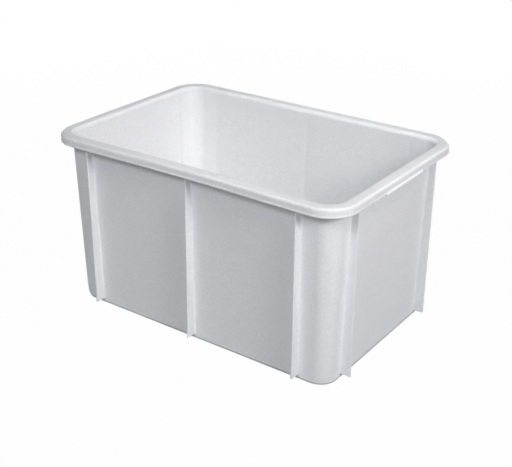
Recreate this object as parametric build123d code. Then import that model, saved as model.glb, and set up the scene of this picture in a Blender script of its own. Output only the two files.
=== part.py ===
from build123d import *
import math
import os

# A stacking container moulded in one shot: a tapered tub with a rolled rim, upright fins outside its
# walls that stand on the rim of the container below, and a thicker grip under the rim at each end.
# Each feature of the moulding is a solid of its own, and the solids meet face to face.
# Millimetres. +Z is up, +X runs along the length, and the origin is the middle of the underside.

# Outside sizes: over the two grips, over the edge beads, and from the underside to the top of the rim
overall_length = 600.0
overall_width = 400.0
overall_height = 325.0

# Tub
wall_thickness = 2.5
base_thickness = 3.0
base_edge_radius = 2.0
draft_angle = 1.25

# Rolled rim: its corners at the skirt's outer face, the reach from the wall's outer face to the skirt's,
# the height from the skirt's lower edge to the top, and the bends at its outer and inner edges
rim_corner_radius = 52.0
rim_overhang = 20.0
rim_height = 16.0
rim_outer_bend = 8.0
rim_inner_bend = 8.0

# Bead round the skirt's lower edge
bead_height = 3.0
bead_proud = 1.0

# Fins: their insets run from the line where a corner starts to the middle of the nearest fin
fin_thickness = 3.5
fin_edge_radius = 1.0
fin_skirt_gap = 4.5
fin_foot_height = 8.0
side_fin_inset = 30.0
end_fin_inset = 18.0

# Grip round the skirt's lower edge, and the gussets that brace the rim at its two ends
grip_length = 126.0
grip_radius = 3.5
grip_proud = 2.0
gusset_thickness = 3.0
gusset_reach = 10.0
gusset_drop = 35.0

# The rim, the walls and the base are all rounded about the same four upright corner axes
corner_x = overall_length / 2 - grip_proud - rim_corner_radius
corner_y = overall_width / 2 - bead_proud - rim_corner_radius
rim_foot = overall_height - rim_height
rim_underside = overall_height - wall_thickness
wall_top_radius = rim_corner_radius - rim_overhang

# The sides in order about Z, a quarter turn apart, from the right-hand end
ring = ("right", "rear", "left", "front")
long_sides = ("rear", "front")
quarter_turn = 90


def wall_radius(height):
    # The wall's outer face, measured from a corner axis
    return wall_top_radius - (rim_foot - height) * math.tan(math.radians(draft_angle))


def upright_face(*outline):
    # A section with its first coordinate outward from a corner axis and its second one up
    return Plane.XZ * make_face(outline)


def wall_section():
    low_outer = wall_radius(base_thickness)
    return upright_face(
        Polyline(
            (low_outer - wall_thickness, base_thickness),
            (low_outer, base_thickness),
            (wall_top_radius, rim_foot),
            (wall_top_radius - wall_thickness, rim_foot),
            close=True,
        )
    )


def rim_section():
    # An inverted channel of even thickness that carries on from the wall, with the bead at its free edge
    inside = wall_top_radius - wall_thickness
    skirt_inside = rim_corner_radius - wall_thickness
    inner_bend_start = overall_height - rim_inner_bend
    inner_bend_end = inside + rim_inner_bend
    outer_bend_start = rim_corner_radius - rim_outer_bend
    outer_bend_end = overall_height - rim_outer_bend
    bead_top = rim_foot + bead_height
    return upright_face(
        Line((inside, rim_foot), (inside, inner_bend_start)),
        TangentArc((inside, inner_bend_start), (inner_bend_end, overall_height), tangent=(0, 1)),
        Line((inner_bend_end, overall_height), (outer_bend_start, overall_height)),
        TangentArc((outer_bend_start, overall_height), (rim_corner_radius, outer_bend_end), tangent=(1, 0)),
        Line((rim_corner_radius, outer_bend_end), (rim_corner_radius, bead_top)),
        ThreePointArc(
            (rim_corner_radius, bead_top),
            (rim_corner_radius + bead_proud, rim_foot + bead_height / 2),
            (rim_corner_radius, rim_foot),
        ),
        Line((rim_corner_radius, rim_foot), (skirt_inside, rim_foot)),
        Line((skirt_inside, rim_foot), (skirt_inside, outer_bend_end)),
        TangentArc((skirt_inside, outer_bend_end), (outer_bend_start, rim_underside), tangent=(0, 1)),
        Line((outer_bend_start, rim_underside), (inner_bend_end, rim_underside)),
        TangentArc((inner_bend_end, rim_underside), (wall_top_radius, inner_bend_start), tangent=(-1, 0)),
        Line((wall_top_radius, inner_bend_start), (wall_top_radius, rim_foot)),
        Line((wall_top_radius, rim_foot), (inside, rim_foot)),
    )


def straight(section, half_length):
    return extrude(section, half_length, both=True)


def plate(thickness, *points):
    return straight(upright_face(Polyline(*points, close=True)), thickness / 2)


def under_rim(shape, length):
    # What stands under the rim is cut to the shape of the rim's inside
    return shape - straight(rim_section(), length)


def base_panel():
    edge = wall_radius(base_thickness)
    outline = RectangleRounded(2 * (corner_x + edge), 2 * (corner_y + edge), edge)
    panel = extrude(outline, base_thickness)
    return fillet(panel.edges().group_by(Axis.Z)[0], base_edge_radius)


def fin():
    # The root follows the wall's draft, and the outer edge is upright, just inside the skirt
    outer = rim_corner_radius - wall_thickness - fin_skirt_gap
    blank = plate(
        fin_thickness,
        (wall_radius(fin_foot_height), fin_foot_height),
        (outer, fin_foot_height),
        (outer, rim_underside),
        (wall_top_radius, rim_underside),
        (wall_top_radius, rim_foot),
    )
    outer_edges = blank.edges().filter_by(Axis.Z).group_by(Axis.X)[-1]
    return under_rim(fillet(outer_edges, fin_edge_radius), fin_thickness)


def grip():
    # A round-ended bar along the skirt's lower edge, hollowed where the skirt runs through it
    reach = grip_length / 2 - grip_radius
    bar = Rot(90, 0, 0) * Cylinder(grip_radius, 2 * reach)
    for end in (-reach, reach):
        bar += Pos(0, end, 0) * Sphere(grip_radius)
    bar_axis = rim_corner_radius + grip_proud - grip_radius
    return under_rim(Pos(bar_axis, 0, rim_foot) * bar, grip_length)


def gusset():
    low = rim_foot - gusset_drop
    blank = plate(
        gusset_thickness,
        (wall_radius(low), low),
        (wall_top_radius + gusset_reach, rim_underside),
        (wall_top_radius, rim_underside),
        (wall_top_radius, rim_foot),
    )
    return under_rim(blank, gusset_thickness)


def half_length(side):
    # Half of a side's straight run, which ends at the corner axes
    return corner_x if side in long_sides else corner_y


def at_side(shape, side, along=0.0):
    # A shape that is set out from a corner axis goes to its side, and then along it from the middle
    distance = corner_y if side in long_sides else corner_x
    return Rot(0, 0, quarter_turn * ring.index(side)) * Pos(distance, along, 0) * shape


nodes = {"base_panel": base_panel()}

for turn, side in enumerate(ring):
    before = ring[turn - 1]
    after = ring[(turn + 1) % len(ring)]
    end = half_length(side)
    nodes[f"{side}_wall"] = at_side(straight(wall_section(), end), side)
    nodes[f"{side}_rim"] = at_side(straight(rim_section(), end), side)

    # The corner that joins this side to the next is named for its long side first
    corner = f"{after}_{side}" if after in long_sides else f"{side}_{after}"
    nodes[f"{corner}_corner"] = at_side(revolve(wall_section(), Axis.Z, quarter_turn), side, end)
    nodes[f"{corner}_rim_corner"] = at_side(revolve(rim_section(), Axis.Z, quarter_turn), side, end)

    fin_place = end - (side_fin_inset if side in long_sides else end_fin_inset)
    nodes[f"{side}_{before}_fin"] = at_side(fin(), side, -fin_place)
    nodes[f"{side}_{after}_fin"] = at_side(fin(), side, fin_place)

    if side in long_sides:
        nodes[f"{side}_middle_fin"] = at_side(fin(), side)
    else:
        gusset_place = (grip_length - gusset_thickness) / 2
        nodes[f"{side}_grip"] = at_side(grip(), side)
        nodes[f"{side}_{before}_gusset"] = at_side(gusset(), side, -gusset_place)
        nodes[f"{side}_{after}_gusset"] = at_side(gusset(), side, gusset_place)

os.makedirs("parts", exist_ok=True)
for name, shape in nodes.items():
    shape.label = name
    export_step(shape, f"parts/{name}.step")
print(len(nodes), "nodes written")
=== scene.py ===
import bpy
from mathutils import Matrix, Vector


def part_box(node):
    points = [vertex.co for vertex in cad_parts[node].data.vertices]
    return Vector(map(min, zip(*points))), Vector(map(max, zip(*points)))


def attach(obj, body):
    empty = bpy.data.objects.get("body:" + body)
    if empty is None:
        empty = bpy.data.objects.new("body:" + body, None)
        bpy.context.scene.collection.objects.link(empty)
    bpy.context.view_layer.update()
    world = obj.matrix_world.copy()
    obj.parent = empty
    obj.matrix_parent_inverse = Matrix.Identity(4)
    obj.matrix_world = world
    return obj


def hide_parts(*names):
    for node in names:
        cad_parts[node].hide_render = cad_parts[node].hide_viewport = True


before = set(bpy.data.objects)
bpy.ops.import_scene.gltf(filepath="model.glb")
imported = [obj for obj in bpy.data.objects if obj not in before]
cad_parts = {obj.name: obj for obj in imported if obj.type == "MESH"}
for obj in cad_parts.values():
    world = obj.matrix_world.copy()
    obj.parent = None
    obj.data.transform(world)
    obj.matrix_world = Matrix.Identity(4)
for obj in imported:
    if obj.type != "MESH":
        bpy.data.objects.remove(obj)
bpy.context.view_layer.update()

import math

import bpy
import numpy as np
from mathutils import Matrix, Vector

mm = 0.001
quarterTurn = math.pi / 2
ring = ("right", "rear", "left", "front")   # the sides in order about Z, a quarter turn apart
longSides = ("rear", "front")
print("frame loaded:", len(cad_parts), "nodes")

# Places read from the frame. Radii run outward from the four upright corner axes.
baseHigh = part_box("base_panel")[1]
wallLow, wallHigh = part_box("rear_wall")
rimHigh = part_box("rear_rim")[1]
finLow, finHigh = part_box("rear_middle_fin")
gripLow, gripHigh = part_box("right_grip")
gussetLow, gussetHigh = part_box("right_rear_gusset")
axisX = wallHigh.x
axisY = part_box("right_wall")[1].y
floorTop = baseHigh.z
rimFoot = wallHigh.z
rimTop = rimHigh.z
footRadius = baseHigh.y - axisY
topRadius = wallHigh.y - axisY
wallThick = footRadius - (wallLow.y - axisY)
beadRadius = rimHigh.y - axisY
sideFins = sum(corner.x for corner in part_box("rear_right_fin")) / 2
endFins = sum(corner.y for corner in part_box("right_rear_fin")) / 2
gussetPlace = (gussetLow.y + gussetHigh.y) / 2


def halfLength(side):
    # half of a side's straight run, which ends at the corner axes
    return axisX if side in longSides else axisY


def finStations(side):
    # places of the fins along a side, from its middle
    return np.array((-sideFins, 0.0, sideFins) if side in longSides else (-endFins, endFins))


def wallRadius(up):
    # outer face of the wall: a straight line from the foot to the rim, upright above it
    return np.interp(up, (floorTop, rimFoot), (footRadius, topRadius))


cooling = {"drawIn": 4.5 * mm}   # how far the front's long rim is pulled in at its middle


def drawIn(points):
    # the curve of a beam clamped at both ends, (1 - s^2)^2 along the front, growing evenly with the
    # height and from the middle to the front
    along = np.clip(points[..., 0] / axisX, -1, 1)
    front = np.clip(-points[..., 1] / axisY, 0, 1)
    points[..., 1] += cooling["drawIn"] * (1 - along ** 2) ** 2 * front * points[..., 2] / rimTop
    return points


def carry(side, along, angle, out, up):
    # base line of the side at a distance along it, plus out times the outward direction turned by angle
    turn = quarterTurn * ring.index(side)
    distance = axisY if side in longSides else axisX
    x = distance * math.cos(turn) - along * math.sin(turn) + out * np.cos(turn + angle)
    y = distance * math.sin(turn) + along * math.cos(turn) + out * np.sin(turn + angle)
    return drawIn(np.stack(np.broadcast_arrays(x, y, up), axis=-1))


def eased(count):
    # 0 to 1 as (1 - cos) / 2: the steps close up at both ends, so a bend leaves its neighbours smoothly
    return (1 - np.cos(np.linspace(0, math.pi, count))) / 2


def bend(centreOut, centreUp, radius, start, stop, count):
    # an arc of a section, in degrees from the outward direction towards up
    angle = np.radians(start + (stop - start) * eased(count))
    return np.stack([centreOut + radius * np.cos(angle), centreUp + radius * np.sin(angle)], axis=-1)


def run(first, last, count):
    # a straight stretch of a section, without its two end points
    part = np.linspace(0, 1, count + 2)[1:-1, None]
    return np.array(first) * (1 - part) + np.array(last) * part


def closedSection(face, back):
    # up the face and down the back
    return np.concatenate([face, back[::-1]])


shellLook = {"sharpAngle": 38}   # degrees between faces from which an edge shades as an edge


def makeMesh(points, quads, tris=()):
    # the shell's signed volume, a sum of tetrahedra from the origin, tells which way its faces look
    tris = np.array(tris, int).reshape(-1, 3)
    split = np.concatenate([quads[:, [0, 1, 2]], quads[:, [0, 2, 3]], tris])
    a, b, c = points[split].transpose(1, 0, 2)
    order = 1 if np.einsum("ij,ij->", a, np.cross(b, c)) > 0 else -1
    faces = quads[:, ::order].tolist() + tris[:, ::order].tolist()
    mesh = bpy.data.meshes.new("shell")
    mesh.from_pydata(points, [], faces)
    mesh.polygons.foreach_set("use_smooth", np.ones(len(faces), bool))
    mesh.set_sharp_from_angle(angle=math.radians(shellLook["sharpAngle"]))
    mesh.update()
    return mesh


def skinFaces(grid):
    # quads from each row to the next, the rows being closed
    index = np.arange(grid.shape[0] * grid.shape[1]).reshape(grid.shape[:2])
    here, there = index[:-1], index[1:]
    quads = np.stack([here, np.roll(here, -1, 1), np.roll(there, -1, 1), there], -1)
    return index, quads.reshape(-1, 4)


def sweptMesh(grid):
    # rows along a path, each a closed section up its face and down its back, so caps are strips of quads
    index, skin = skinFaces(grid)
    columns = index.shape[1]
    strip = np.arange(columns // 2 - 1)
    cap = np.stack([strip, columns - 1 - strip, columns - 2 - strip, strip + 1], -1)
    quads = np.concatenate([skin, index[0][cap], index[-1][cap][:, ::-1]])
    return makeMesh(grid.reshape(-1, 3), quads)


def poleMesh(first, grid, last):
    # closed rings from one pole to the other
    index, skin = skinFaces(grid)
    start = np.stack([np.full_like(index[0], index.size), np.roll(index[0], -1), index[0]], -1)
    stop = np.stack([np.full_like(index[-1], index.size + 1), index[-1], np.roll(index[-1], -1)], -1)
    points = np.concatenate([grid.reshape(-1, 3), [first], [last]])
    return makeMesh(points, skin, np.concatenate([start, stop]))


def addPiece(node, mesh, finish):
    # a piece named for the node that it stands for, on the one rigid body
    first, *rest = node.split("_")
    piece = bpy.data.objects.new(first + "".join(word.capitalize() for word in rest), mesh)
    bpy.context.scene.collection.objects.link(piece)
    mesh.name = piece.name
    mesh.materials.append(finish)
    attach(piece, "root")
    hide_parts(node)


class Wire:
    # one output of a node; sums, differences and products of wires and numbers add Math nodes
    def __init__(self, finish, socket):
        self.finish = finish
        self.socket = socket

    def math(self, operation, first, second):
        inputs = {0: first, 1: second}
        return self.finish.node("ShaderNodeMath", {"operation": operation}, inputs)["Value"]

    def __add__(self, other):
        return self.math("ADD", self, other)

    def __radd__(self, other):
        return self.math("ADD", other, self)

    def __sub__(self, other):
        return self.math("SUBTRACT", self, other)

    def __rsub__(self, other):
        return self.math("SUBTRACT", other, self)

    def __mul__(self, other):
        return self.math("MULTIPLY", self, other)

    def __rmul__(self, other):
        return self.math("MULTIPLY", other, self)


class Finish:
    # a material or world, with one way to add a node: its type, its settings, then its inputs
    def __init__(self, owner):
        owner.use_nodes = True
        self.tree = owner.node_tree
        self.tree.nodes.clear()

    def node(self, kind, settings=None, inputs=None):
        made = self.tree.nodes.new(kind)
        for key, value in (settings or {}).items():
            if key == "stops":
                self.setStops(made.color_ramp, value)
            else:
                setattr(made, key, value)
        for key, value in (inputs or {}).items():
            if isinstance(value, Wire):
                self.tree.links.new(value.socket, made.inputs[key])
            else:
                made.inputs[key].default_value = value
        return {out.name: Wire(self, out) for out in made.outputs if out.enabled}

    def setStops(self, ramp, stops):
        for element, (place, colour) in zip(ramp.elements, stops, strict=True):
            element.position = place
            element.color = colour

    def noise(self, place, scale, detail):
        inputs = {"Vector": place, "Scale": scale, "Detail": detail}
        return self.node("ShaderNodeTexNoise", None, inputs)["Fac"]

    def step(self, value, start, stop, low=0.0):
        # a smooth step from low to 1 as the value goes from start to stop
        inputs = {"Value": value, "From Min": start, "From Max": stop, "To Min": low}
        return self.node("ShaderNodeMapRange", {"interpolation_type": "SMOOTHSTEP"}, inputs)["Result"]

    def mix(self, share, colour, other):
        inputs = {"Fac": share, "Color1": colour, "Color2": other}
        return self.node("ShaderNodeMixRGB", None, inputs)["Color"]


polyLook = {
    "pale": (0.912, 0.919, 0.937, 1.0),
    "shade": (0.818, 0.825, 0.843, 1.0),
    "roughness": 0.50,
    "gripHighlightPale": (0.980, 0.984, 0.990, 1.0),   # the grips: their paler colour is a painted highlight
    "gripHighlightDark": (0.955, 0.959, 0.965, 1.0),
    "gripRoughness": 0.34,
    "ior": 1.5,
    "broad": (7.0, 3.0),        # noises, the slowest first: cells per metre and levels of detail
    "cloud": (60.0, 4.0),
    "speck": (420.0, 2.0),
    "grain": (1500.0, 2.0),
    "noiseMean": 0.5,
    "toneShares": (0.14, 0.14, 0.72),   # how much the first three noises count in the tone
    "toneRange": (0.36, 0.64),          # the tones that get the shade and the pale colour
    "roughCloud": 0.08,         # how much the roughness changes with the clouds and with the specks
    "roughSpeck": 0.04,
    "worn": (0.690, 0.697, 0.717, 1.0),   # painted shade on the rim's crest, darker than the bend beside it
    "crestShadeFrom": 323.2 * mm,
    "crestShadeTo": 324.6 * mm,
    "crestShadeShare": 1.0,
    "grimy": (0.400, 0.403, 0.412, 1.0),   # painted shade along the foot's bottom edge, where it turns under towards the floor
    "grimeFrom": 5.0 * mm,
    "grimeTo": 1.6 * mm,
    "grimeShare": 0.8,
    "uneven": 0.5,              # how much the clouds change both shares
    "bumpStrength": 0.10,
    "bumpDepth": 0.25 * mm,
    "bumpSpeck": 0.3,           # the specks' share of the bump, the grain having the rest
}


def polyethylene(name, pale, shade, roughness):
    # the tone is a weighted sum of three noises; a painted shade on the crest and another along the
    # foot's bottom edge come in by a smooth step of the height, each times a share that changes with the
    # clouds
    material = bpy.data.materials.new(name)
    finish = Finish(material)
    place = finish.node("ShaderNodeTexCoord")["Object"]
    noises = ("broad", "cloud", "speck", "grain")
    broad, cloud, speck, grain = (finish.noise(place, *polyLook[noise]) for noise in noises)
    broadShare, cloudShare, speckShare = polyLook["toneShares"]
    tone = broad * broadShare + cloud * cloudShare + speck * speckShare
    stops = list(zip(polyLook["toneRange"], (shade, pale)))
    colour = finish.node("ShaderNodeValToRGB", {"stops": stops}, {"Fac": tone})["Color"]
    height = finish.node("ShaderNodeSeparateXYZ", None, {"Vector": place})["Z"]
    cloudy = cloud - polyLook["noiseMean"]
    specky = speck - polyLook["noiseMean"]
    uneven = cloudy * polyLook["uneven"]
    # painted shade: the upward-facing crest is darkened, so the outer bend beside it reads brighter
    crest = finish.step(height, polyLook["crestShadeFrom"], polyLook["crestShadeTo"])
    colour = finish.mix(crest * (polyLook["crestShadeShare"] + uneven), colour, polyLook["worn"])
    # painted shade: darker towards the bottom edge, where the foot turns under
    foot = finish.step(height, polyLook["grimeFrom"], polyLook["grimeTo"])
    colour = finish.mix(foot * (polyLook["grimeShare"] + uneven), colour, polyLook["grimy"])
    bump = finish.node("ShaderNodeBump", None, {
        "Strength": polyLook["bumpStrength"],
        "Distance": polyLook["bumpDepth"],
        "Height": grain * (1 - polyLook["bumpSpeck"]) + speck * polyLook["bumpSpeck"],
    })["Normal"]
    shader = finish.node("ShaderNodeBsdfPrincipled", None, {
        "Base Color": colour,
        "Roughness": roughness + cloudy * polyLook["roughCloud"] + specky * polyLook["roughSpeck"],
        "Normal": bump,
        "IOR": polyLook["ior"],
    })["BSDF"]
    finish.node("ShaderNodeOutputMaterial", None, {"Surface": shader})
    return material


plastic = polyethylene("mouldedPlastic", polyLook["pale"], polyLook["shade"], polyLook["roughness"])
# the grips: a paler colour that is a painted highlight, with a lower roughness
gripHighlighted = polyethylene("gripHighlightPlastic", polyLook["gripHighlightPale"], polyLook["gripHighlightDark"],
                       polyLook["gripRoughness"])
print("finish ready")

# Marks where the fins behind draw the surface in as it cools: a smooth dip across each fin's place
sink = {
    "wall": 0.90 * mm,
    "wallWidth": 3.5 * mm,
    "wallRise": 20 * mm,   # the wall's marks fade in over this height above the floor
    "rim": 0.35 * mm,
    "rimWidth": 3 * mm,
    "rimEdge": 4 * mm,     # the rim's marks fade out over this width before the skirt
    "blunt": 0.6 * mm,
    "reach": 9 * mm,       # the columns of a mesh are closer about each mark
    "reachColumns": 17,
    "endReach": 11 * mm,   # and before the corners, where the foot starts to turn
    "endColumns": 9,
    "columnStep": 8 * mm,
    "clear": 1.05,         # even steps start this many reaches away from a mark
}


def columnPlaces(side):
    # even steps along a side, with closer ones about each fin, so that a shallow mark has its shape,
    # and at both ends
    half = halfLength(side)
    marks = finStations(side)
    even = np.linspace(-half, half, round(2 * half / sink["columnStep"]) + 1)
    close = marks[:, None] + sink["reach"] * np.linspace(-1, 1, sink["reachColumns"])
    kept = even[np.abs(even[:, None] - marks).min(axis=1) > sink["reach"] * sink["clear"]]
    last = half - sink["endReach"] * np.linspace(0, 1, sink["endColumns"])
    kept = np.concatenate([kept[np.abs(kept) < last[-1] - sink["blunt"]], last, -last])
    return np.unique(np.concatenate([kept, close.ravel()]))


def sinkDepth(along, side, depth, width):
    # a valley exp(-d / width) to either side of each fin, with its bottom blunted: d is the root of
    # gap^2 + blunt^2, less blunt
    gap = along[:, None] - finStations(side)
    away = np.sqrt(gap ** 2 + sink["blunt"] ** 2) - sink["blunt"]
    return depth * np.exp(-away / width).sum(axis=1)


# The foot that the walls and the base share: a groove at the mould's seam, and rounder corners
footLook = {
    "seamHeight": 6.5 * mm,
    "seamDepth": 0.9 * mm,
    "seamWidth": 0.45 * mm,
    "edgeRadius": 0.8 * mm,
    "rounder": 7 * mm,          # how much larger a corner's radius is on the floor
    "rounderHeight": 16 * mm,   # where it is down to the wall's own
}


def footInset(up, spare, angle):
    # How far the foot stands in from the drafted wall, at a distance to spare before a corner's axis or
    # an angle round it. The seam is a groove exp(-d^2) and the edge an arc of radius r,
    # r - sqrt(r^2 - (r - up)^2). A corner's arc of radius R + e has its axis e further in on both sides:
    # the reach p along the outward direction solves (p cos + e)^2 + (p sin + v)^2 = (R + e)^2, with v
    # as e less what is to spare, and e falling as (1 - s)^2 with the height.
    away = (up - footLook["seamHeight"]) / footLook["seamWidth"]
    seam = footLook["seamDepth"] * np.exp(-away ** 2)
    edge = footLook["edgeRadius"]
    under = np.clip(edge - up, 0, edge)
    turned = edge - np.sqrt(edge ** 2 - under ** 2)
    more = footLook["rounder"] * np.clip(1 - up / footLook["rounderHeight"], 0, 1) ** 2
    beside = np.clip(more - spare, 0, None)
    lean = more * np.cos(angle) + beside * np.sin(angle)
    own = wallRadius(up)
    reach = np.sqrt(lean ** 2 + (own + more) ** 2 - more ** 2 - beside ** 2) - lean
    return seam + turned + own - reach


wallLook = {
    "rows": 26,
    "cornerColumns": 36,
    "floorFillet": 5 * mm,
    "filletPoints": 25,
    "bow": 1.3 * mm,   # how far a panel between two fins is drawn in
}


def panelBow(along, up, side):
    # cooling draws in a panel between two fins: a parabola 4 s (1 - s) along it times another one up it
    marks = finStations(side)
    cell = np.clip(np.searchsorted(marks, along) - 1, 0, len(marks) - 2)
    across = np.clip((along - marks[cell]) / (marks[cell + 1] - marks[cell]), 0, 1)
    rise = np.clip((up - floorTop) / (rimFoot - floorTop), 0, 1)
    return wallLook["bow"] * (4 * across * (1 - across))[:, None] * (4 * rise * (1 - rise))[None]


def wallSection():
    # face: the drafted outside; back: a fillet that leaves the floor, then the drafted inside
    fillet = wallLook["floorFillet"]
    fold = wallLook["filletPoints"]
    lift = floorTop + fillet
    corner = wallRadius(lift) - wallThick - fillet
    risen = np.linspace(lift, rimFoot, wallLook["rows"])[1:]
    foot = bend(corner, lift, fillet, -90, 0, fold)
    back = np.concatenate([foot, np.stack([wallRadius(risen) - wallThick, risen], -1)])
    up = np.concatenate([floorTop + fillet * np.linspace(0, 1, fold), risen])
    return np.stack([wallRadius(up), up], -1), back


def straightWall(side):
    # the section carried along the side: the fins' valleys added on the inside, less the bow, and less
    # the foot's inset on the outside
    face, back = wallSection()
    section = closedSection(face, back)
    along = columnPlaces(side)
    risen = np.clip((back[::-1, 1] - floorTop) / sink["wallRise"], 0, 1)
    inside = np.concatenate([np.zeros(len(face)), risen])
    valley = sinkDepth(along, side, sink["wall"], sink["wallWidth"])[:, None]
    out = section[None, :, 0] + valley * inside - panelBow(along, section[:, 1], side)
    spare = halfLength(side) - np.abs(along)
    out[:, :len(face)] -= footInset(face[None, :, 1], spare[:, None], 0.0)
    return sweptMesh(carry(side, along[:, None], 0.0, out, section[None, :, 1]))


def turnedCorner(side, angle, section):
    # sections turned about the corner axis at the side's end, by an angle for each
    return sweptMesh(carry(side, halfLength(side), angle, section[..., 0], section[..., 1]))


def cornerWall(side):
    # the section turned through a quarter, less the foot's inset on the outside
    angle = quarterTurn * eased(wallLook["cornerColumns"])[:, None]
    face, back = wallSection()
    section = np.repeat(closedSection(face, back)[None], len(angle), axis=0)
    section[:, :len(face), 0] -= footInset(face[None, :, 1], 0.0, angle)
    return turnedCorner(side, angle, section)


rimLook = {
    "outerBend": 6 * mm,
    "innerBend": 8 * mm,
    "crown": 6.0,          # degrees that the crest leans at either end of its dome
    "beadProud": 0.6 * mm,
    "beadHeight": 4.2 * mm,
    "beadSwell": 0.68,     # share of the bead's height over which it swells
    "bendPoints": 13,
    "flatPoints": 3,
    "crownPoints": 7,
    "beadPoints": 7,
    "cornerColumns": 44,
}


def rimSection():
    # face: up from the wall's inside, over the inner bend, a slightly domed crest and the outer bend,
    # then down the skirt and round its bead; back: the same, less the wall's thickness. The dome meets
    # both bends on one tangent: its radius is half of the gap between their axes over the sine of crown,
    # plus half of their two radii.
    inside = topRadius - wallThick
    skirt = beadRadius - rimLook["beadProud"]
    inner, outer, crown = rimLook["innerBend"], rimLook["outerBend"], rimLook["crown"]
    fold, flat, bead = rimLook["bendPoints"], rimLook["flatPoints"], rimLook["beadPoints"]
    lean = math.radians(crown)
    dome = ((skirt - inside - outer - inner) / math.sin(lean) + inner + outer) / 2
    domeAxis = (inside + inner + (dome - inner) * math.sin(lean), rimTop - dome)
    innerAxis = (inside + inner, domeAxis[1] + (dome - inner) * math.cos(lean))
    outerAxis = (skirt - outer, domeAxis[1] + (dome - outer) * math.cos(lean))
    beadTop = rimFoot + rimLook["beadHeight"]

    def roof(less):
        return np.concatenate([
            bend(*innerAxis, inner - less, 180, 90 + crown, fold),
            bend(*domeAxis, dome - less, 90 + crown, 90 - crown, rimLook["crownPoints"])[1:-1],
            bend(*outerAxis, outer - less, 90 - crown, 0, fold),
        ])

    def rise(out):
        return np.concatenate([[(out, rimFoot)], run((out, rimFoot), (out, innerAxis[1]), flat)])

    def fall(out):
        return run((out, outerAxis[1]), (out, beadTop), flat)

    # the bead swells as half a cosine over its upper part and turns under as a quarter of an ellipse
    swell = np.linspace(0, 1, bead)
    turn = np.linspace(0, quarterTurn, bead)[1:]
    upper = rimLook["beadSwell"]
    full = np.concatenate([(1 - np.cos(math.pi * swell)) / 2, np.cos(turn)])
    drop = np.concatenate([upper * swell, upper + (1 - upper) * np.sin(turn)])
    roll = np.stack([skirt + rimLook["beadProud"] * full, beadTop - rimLook["beadHeight"] * drop], -1)
    hem = np.stack([np.full(len(roll), skirt - wallThick), np.linspace(beadTop, rimFoot, len(roll))], -1)
    face = np.concatenate([rise(inside), roof(0.0), fall(skirt), roll])
    back = np.concatenate([rise(topRadius), roof(wallThick), fall(skirt - wallThick), hem])
    return face, back


def straightRim(side):
    # the face sinks along its own normal at the fins, from the wall's inside to the start of the skirt
    face, back = rimSection()
    section = closedSection(face, back)
    along = columnPlaces(side)
    slope = np.gradient(face, axis=0)
    normal = np.stack([-slope[:, 1], slope[:, 0]], -1) / np.linalg.norm(slope, axis=1)[:, None]
    crest = np.clip((beadRadius - sink["rimEdge"] - face[:, 0]) / sink["rimEdge"], 0, 1)[:, None]
    dip = np.concatenate([-normal * crest, np.zeros_like(back)])
    valley = sinkDepth(along, side, sink["rim"], sink["rimWidth"])[:, None, None]
    moved = section[None] + valley * dip[None]
    return sweptMesh(carry(side, along[:, None], 0.0, moved[..., 0], moved[..., 1]))


def cornerRim(side):
    # the section turned through a quarter
    angle = quarterTurn * eased(rimLook["cornerColumns"])[:, None]
    return turnedCorner(side, angle, closedSection(*rimSection())[None])


def rimMiddle(out):
    # mid-thickness of the rim over a given radius, where what stands under it ends: a flat crest that
    # turns down to either side on an arc, sqrt(r^2 - d^2)
    reach = rimLook["innerBend"] - wallThick / 2
    innerEnd = topRadius - wallThick + rimLook["innerBend"]
    outerStart = beadRadius - rimLook["beadProud"] - rimLook["outerBend"]
    past = np.clip(np.maximum(innerEnd - out, out - outerStart), 0, reach)
    return rimTop - rimLook["innerBend"] + np.sqrt(reach ** 2 - past ** 2)


finLook = {
    "rootFillet": 2.6 * mm,
    "edgeRadius": 1.5 * mm,
    "sunk": 1 * mm,        # how far a root reaches into the wall
    "rows": 30,
    "filletPoints": 9,
    "edgePoints": 6,
}


def webSection(half, root, tip, fillet, edge):
    # half of a plan section for each row: a fillet that leaves the wall, the side, a quarter round tip
    fold = quarterTurn * eased(finLook["filletPoints"])
    turn = np.linspace(0, quarterTurn, finLook["edgePoints"])
    across = [half + fillet, half + fillet * (1 - np.sin(fold)), half - edge + edge * np.cos(turn)]
    out = [root - finLook["sunk"], root + fillet * (1 - np.cos(fold)), tip - edge + edge * np.sin(turn)]
    return np.concatenate(across, axis=-1), np.concatenate(out, axis=-1)


def webMesh(side, station, rows, across, out):
    # half sections mirrored about the web's middle, stretched up to the rim's mid-thickness
    share = ((rows - rows[0]) / (rows[-1] - rows[0]))[:, None]
    up = rows[0] + share * (rimMiddle(out) - rows[0])
    across = np.concatenate([across, -across[:, ::-1]], axis=1)
    out = np.concatenate([out, out[:, ::-1]], axis=1)
    up = np.concatenate([up, up[:, ::-1]], axis=1)
    return sweptMesh(carry(side, station + across, 0.0, out, up))


def fin(side, station):
    # an upright web with its outer edge rounded; at its foot the rows rise by r (1 - cos) while they
    # stand in by r (1 - sin)
    low, high = finLow.z, rimTop - wallThick / 2
    edge = finLook["edgeRadius"]
    turn = np.linspace(0, quarterTurn, finLook["edgePoints"])
    shaft = np.linspace(low + edge, high, finLook["rows"])[1:]
    rows = np.concatenate([low + edge * (1 - np.cos(turn)), shaft])
    inset = np.concatenate([edge * (1 - np.sin(turn)), np.zeros(len(shaft))])[:, None]
    half = (finHigh.x - finLow.x) / 2 - inset
    tip = finHigh.y - axisY - inset
    across, out = webSection(half, wallRadius(rows)[:, None], tip, finLook["rootFillet"], edge)
    return webMesh(side, station, rows, across, out)


gussetLook = {
    "reach": 8 * mm,
    "toe": 0.3 * mm,
    "curve": 2.6,
    "rootFillet": 2.2 * mm,
    "edgeRadius": 0.7 * mm,
    "roundShare": 1 / 3,   # of the web's depth, the most that its fillet or its edge takes
    "rows": 20,
}


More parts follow.
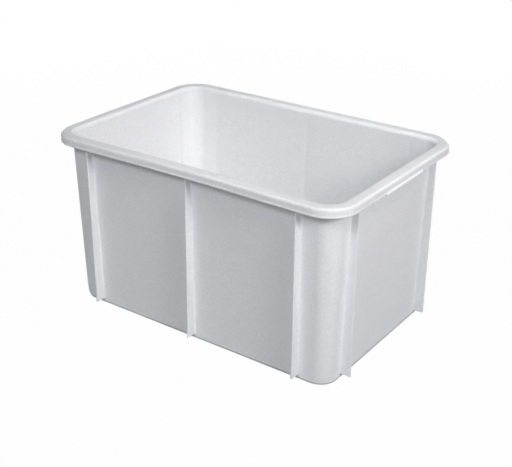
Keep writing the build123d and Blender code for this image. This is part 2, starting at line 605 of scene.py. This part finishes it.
def gusset(side, station):
    # a hollow-edged web whose depth grows as a power of the height, from its toe to its reach
    rows = np.linspace(gussetLow.z, rimTop - wallThick / 2, gussetLook["rows"])
    rise = (rows - rows[0]) / (rows[-1] - rows[0])
    growth = (gussetLook["reach"] - gussetLook["toe"]) * rise ** gussetLook["curve"]
    depth = (gussetLook["toe"] + growth)[:, None]
    root = wallRadius(rows)[:, None]
    half = np.full_like(root, (gussetHigh.y - gussetLow.y) / 2)
    fillet = np.minimum(gussetLook["rootFillet"], depth * gussetLook["roundShare"])
    edge = np.minimum(gussetLook["edgeRadius"], depth * gussetLook["roundShare"])
    across, out = webSection(half, root, root + depth, fillet, edge)
    return webMesh(side, station, rows, across, out)


gripLook = {
    "faceHeight": 5 * mm,
    "faceDepth": 2.5 * mm,
    "curve": 1.6,
    "under": 3 * mm,
    "inner": 4 * mm,
    "facePoints": 12,
    "underPoints": 10,
    "innerPoints": 18,
    "endPoints": 12,
    "rows": 24,
}


def gripSection(tip, middle, low):
    # outside, a face that leans back as a power of its height, over a quarter of an ellipse that turns
    # under; inside the skirt, half an ellipse
    lift = np.linspace(1, 0, gripLook["facePoints"])
    turn = np.linspace(0, quarterTurn, gripLook["underPoints"])[1:]
    wrap = np.linspace(0, math.pi, gripLook["innerPoints"])[1:-1]
    high = middle + gripLook["faceHeight"]
    lean = gripLook["faceDepth"] * lift ** gripLook["curve"]
    face = np.stack([tip - lean, middle + gripLook["faceHeight"] * lift], -1)
    tuck = gripLook["under"] * (1 - np.cos(turn))
    under = np.stack([tip - tuck, middle - (middle - low) * np.sin(turn)], -1)
    inner = np.stack([under[-1, 0] - gripLook["inner"] * np.sin(wrap),
                      (high + low) / 2 - (high - low) / 2 * np.cos(wrap)], -1)
    return np.concatenate([face, under, inner])


def grip(side):
    # the section carried along the bar, closing to a point over a quarter of a circle at each end
    radius = (gripHigh.z - gripLow.z) / 2
    centre = np.array([gripHigh.x - radius - axisX, (gripHigh.z + gripLow.z) / 2])
    section = gripSection(gripHigh.x - axisX, centre[1], gripLow.z) - centre
    half = (gripHigh.y - gripLow.y) / 2
    turn = np.linspace(0, quarterTurn, gripLook["endPoints"])[1:]
    close = half - radius * (1 - np.cos(turn))
    body = np.linspace(-(half - radius), half - radius, gripLook["rows"])[1:-1]
    along = np.concatenate([-close, body, close[::-1]])[:, None]
    wide = np.concatenate([np.sin(turn), np.ones(len(body)), np.sin(turn[::-1])])[:, None]
    out, up = (centre[k] + wide * section[:, k] for k in range(2))
    first, last = (carry(side, place, 0.0, *centre) for place in (-half, half))
    return poleMesh(first, carry(side, along, 0.0, out, up), last)


baseLook = {
    "edgePoints": 14,
    "sidePoints": 48,
    "cornerPoints": 24,
    "nearStart": 0.6 * mm,   # close rings about the middle, for the two marks there
    "nearStop": 45 * mm,
    "nearRings": 40,
    "farStart": 0.3,         # then rings in the shape of the border, as shares of it
    "farRings": 10,
    "gateRadius": 7 * mm,
    "gateDepth": 0.5 * mm,
    "ejectorRadius": 34 * mm,
    "ejectorDepth": 0.2 * mm,
    "ejectorWidth": 1.2 * mm,
}


def baseOutline():
    # once round the base: points of the rectangle through its corner axes, outward directions, what is
    # to spare before a corner and the angle round it
    corner = quarterTurn * eased(baseLook["cornerPoints"])[:-1]
    legs = []
    for turn, side in enumerate(ring):
        start = turn * quarterTurn
        half = halfLength(side)
        reach = axisY if side in longSides else axisX
        straight = half * np.sin(np.linspace(-quarterTurn, quarterTurn, baseLook["sidePoints"])[:-1])
        along = np.concatenate([straight, np.full(len(corner), half)])
        angle = np.concatenate([np.zeros(len(straight)), corner])
        x = reach * math.cos(start) - along * math.sin(start)
        y = reach * math.sin(start) + along * math.cos(start)
        heading = start + angle
        spare = half - np.abs(along)
        legs.append(np.stack([x, y, np.cos(heading), np.sin(heading), spare, angle], -1))
    outline = np.concatenate(legs)
    return outline[:, :2], outline[:, 2:4], outline[:, 4], outline[:, 5]


def lifted(flat, height):
    # plan points with one height for each ring
    up = np.broadcast_to(height[:, None, None], flat.shape[:2] + (1,))
    return np.concatenate([flat, up], axis=-1)


def basePanel():
    # rings from a pole in the middle out to the rounded rectangle under the floor, and back over it
    axes, outward, spare, angle = baseOutline()

    def border(up):
        # an outline for each height: the axes plus what is left of the foot's radius, going outward
        radius = footRadius - footInset(np.reshape(up, (-1, 1)), spare, angle)
        return axes + radius[..., None] * outward

    underneath = border(0.0)[0]
    heading = underneath / np.linalg.norm(underneath, axis=1)[:, None]
    near = np.linspace(baseLook["nearStart"], baseLook["nearStop"], baseLook["nearRings"])
    far = np.linspace(baseLook["farStart"], 1.0, baseLook["farRings"])

    def level(height, mark):
        # circles about the middle that carry a mark, then outlines shrunk towards it
        small = near[:, None, None] * heading[None]
        shrunk = far[:, None, None] * underneath[None]
        depth = np.concatenate([mark(near), np.zeros(len(far))])
        return lifted(np.concatenate([small, shrunk]), height + depth)

    def gate(radius):
        # the shallow dished spot where the plastic came in, with a smooth rim: 1 - s^4
        return baseLook["gateDepth"] * (1 - np.clip(radius / baseLook["gateRadius"], 0, 1) ** 4)

    def ejector(radius):
        # a fine ring groove exp(-d^2)
        away = (radius - baseLook["ejectorRadius"]) / baseLook["ejectorWidth"]
        return -baseLook["ejectorDepth"] * np.exp(-away ** 2)

    lift = floorTop * (1 - np.cos(np.linspace(0, quarterTurn, baseLook["edgePoints"])[1:]))
    side = lifted(border(lift), lift)
    rings = np.concatenate([level(0.0, gate), side, level(floorTop, ejector)[::-1]])
    return poleMesh((0, 0, gate(0.0)), rings, (0, 0, floorTop))


addPiece("base_panel", basePanel(), plastic)
for turn, side in enumerate(ring):
    before, after = ring[turn - 1], ring[(turn + 1) % len(ring)]
    corner = f"{after}_{side}" if after in longSides else f"{side}_{after}"
    addPiece(f"{side}_wall", straightWall(side), plastic)
    addPiece(f"{side}_rim", straightRim(side), plastic)
    addPiece(f"{corner}_corner", cornerWall(side), plastic)
    addPiece(f"{corner}_rim_corner", cornerRim(side), plastic)
    addPiece(f"{side}_{before}_fin", fin(side, finStations(side)[0]), plastic)
    addPiece(f"{side}_{after}_fin", fin(side, finStations(side)[-1]), plastic)
    if side in longSides:
        addPiece(f"{side}_middle_fin", fin(side, 0.0), plastic)
    else:
        addPiece(f"{side}_grip", grip(side), gripHighlighted)
        addPiece(f"{side}_{before}_gusset", gusset(side, -gussetPlace), plastic)
        addPiece(f"{side}_{after}_gusset", gusset(side, gussetPlace), plastic)

stageLook = {
    "size": 12.0,
    "colour": (0.55, 0.55, 0.55, 1.0),
    "glowNear": 0.985,     # share of plain white near the object, where the rest takes its shadow
    "fadeStart": 0.7,      # metres from the middle, over which it all turns white
    "fadeEnd": 2.5,
}


def seenDirectly(finish):
    # 1 for rays from the camera, a mirror or through glass, and 0 for the light that reaches the object
    path = finish.node("ShaderNodeLightPath")
    seen = path["Is Camera Ray"] + path["Is Glossy Ray"] + path["Is Transmission Ray"]
    return finish.node("ShaderNodeClamp", None, {"Value": seen})["Result"]


def paleFloor():
    # white where it is seen, but for the share near the object that is matt
    material = bpy.data.materials.new("paleFloor")
    finish = Finish(material)
    place = finish.node("ShaderNodeTexCoord")["Object"]
    away = finish.node("ShaderNodeVectorMath", {"operation": "LENGTH"}, {0: place})["Value"]
    glow = finish.step(away, stageLook["fadeStart"], stageLook["fadeEnd"], stageLook["glowNear"])
    matt = finish.node("ShaderNodeBsdfDiffuse", None, {"Color": stageLook["colour"]})["BSDF"]
    white = finish.node("ShaderNodeEmission", None, {"Strength": 1.0})["Emission"]
    share = seenDirectly(finish) * glow
    mixed = finish.node("ShaderNodeMixShader", None, {0: share, 1: matt, 2: white})["Shader"]
    finish.node("ShaderNodeOutputMaterial", None, {"Surface": mixed})
    return material


def addFloor():
    # a flat square that the container stands on
    half = stageLook["size"] / 2
    corners = [(-half, -half, 0), (half, -half, 0), (half, half, 0), (-half, half, 0)]
    mesh = bpy.data.meshes.new("floor")
    mesh.from_pydata(corners, [], [(0, 1, 2, 3)])
    mesh.materials.append(paleFloor())
    floor = bpy.data.objects.new("floor", mesh)
    bpy.context.scene.collection.objects.link(floor)


skyLook = {"strength": 0.03}


def addSky():
    # white where it is seen, and faint as a light
    world = bpy.data.worlds.new("studio")
    bpy.context.scene.world = world
    finish = Finish(world)
    strength = skyLook["strength"] + (1 - skyLook["strength"]) * seenDirectly(finish)
    inputs = {"Color": (1, 1, 1, 1), "Strength": strength}
    sky = finish.node("ShaderNodeBackground", None, inputs)["Background"]
    finish.node("ShaderNodeOutputWorld", None, {"Surface": sky})


# Lamps stand off from the point that they are aimed at, and the one for the inside has a narrow beam:
# degrees, metres and watts
plainLamp = {"tint": (1.0, 1.0, 1.0), "spread": 180, "aim": (0.0, 0.0, rimTop / 2)}
lampLook = {
    "key": {"azimuth": 74, "elevation": 29, "distance": 2.52, "size": 0.405, "power": 16.67,
            "tint": (0.981, 0.989, 1.0)},
    "front": {"azimuth": 8, "elevation": 40, "distance": 2.88, "size": 0.84, "power": 27.27,
              "tint": (0.929, 0.955, 1.0)},
    "high": {"azimuth": 66, "elevation": 35, "distance": 1.94, "size": 0.42, "power": 4.10,
             "tint": (1.0, 0.965, 0.950)},
    "top": {"azimuth": 116, "elevation": 75, "distance": 0.92, "size": 0.62, "power": 2.07,
            "tint": (0.974, 0.968, 1.0)},
    "low": {"azimuth": 85, "elevation": 0, "distance": 1.71, "size": 0.4, "power": 1.48,
            "tint": (0.857, 0.866, 1.0)},
    "rear": {"azimuth": 220, "elevation": 50, "distance": 2.4, "size": 1.2, "power": 2.0},
    "behind": {"azimuth": 190, "elevation": 0, "distance": 2.4, "size": 0.3, "power": 14.0},
    "beside": {"azimuth": 240, "elevation": 0, "distance": 2.4, "size": 0.3, "power": 15.0},
    "inside": {"azimuth": 67, "elevation": 48, "distance": 1.58, "size": 0.27, "power": 0.245,
               "tint": (1.0, 0.940, 0.866), "spread": 33, "aim": (-0.17, 0.08, 0.12)},
}


def lookDirection(azimuth, elevation):
    # azimuth 0 stands in front of the long side, and 90 off the right-hand end
    a, e = math.radians(azimuth), math.radians(elevation)
    return Vector((math.sin(a) * math.cos(e), -math.cos(a) * math.cos(e), math.sin(e)))


def addLamps():
    # disks that face the points they are aimed at
    for name, own in lampLook.items():
        look = plainLamp | own
        aim = Vector(look["aim"])
        lamp = bpy.data.lights.new(name, "AREA")
        lamp.shape = "DISK"
        lamp.size = look["size"]
        lamp.energy = look["power"]
        lamp.color = look["tint"]
        lamp.spread = math.radians(look["spread"])
        back = lookDirection(look["azimuth"], look["elevation"])
        stand = bpy.data.objects.new(name, lamp)
        stand.location = aim + back * look["distance"]
        stand.rotation_euler = back.to_track_quat("Z", "Y").to_euler()
        bpy.context.scene.collection.objects.link(stand)


# Degrees and metres, with the lens and the sensor in millimetres
viewLook = {
    "azimuth": 35.4374,
    "elevation": 25.3723,
    "roll": 0.3855,
    "distance": 1.7564,
    "target": (0.00843, 0.0, 0.13793),
    "lens": 67.797,
    "sensor": 36.0,
}


def addCamera():
    # back from the target along the view, and rolled about it
    back = lookDirection(viewLook["azimuth"], viewLook["elevation"])
    right = Vector((0, 0, 1)).cross(back).normalized()
    up = back.cross(right)
    roll = math.radians(viewLook["roll"])
    across = right * math.cos(roll) + up * math.sin(roll)
    upward = up * math.cos(roll) - right * math.sin(roll)
    camera = bpy.data.objects.new("camera", bpy.data.cameras.new("camera"))
    camera.data.sensor_width = viewLook["sensor"]
    camera.data.lens = viewLook["lens"]
    place = Vector(viewLook["target"]) + back * viewLook["distance"]
    turned = Matrix((across, upward, back)).transposed().to_4x4()
    camera.matrix_world = Matrix.Translation(place) @ turned
    bpy.context.scene.collection.objects.link(camera)
    bpy.context.scene.camera = camera


addFloor()
addSky()
addLamps()
addCamera()
bpy.context.scene.view_settings.view_transform = "Standard"
print("stage, lamps and camera set")
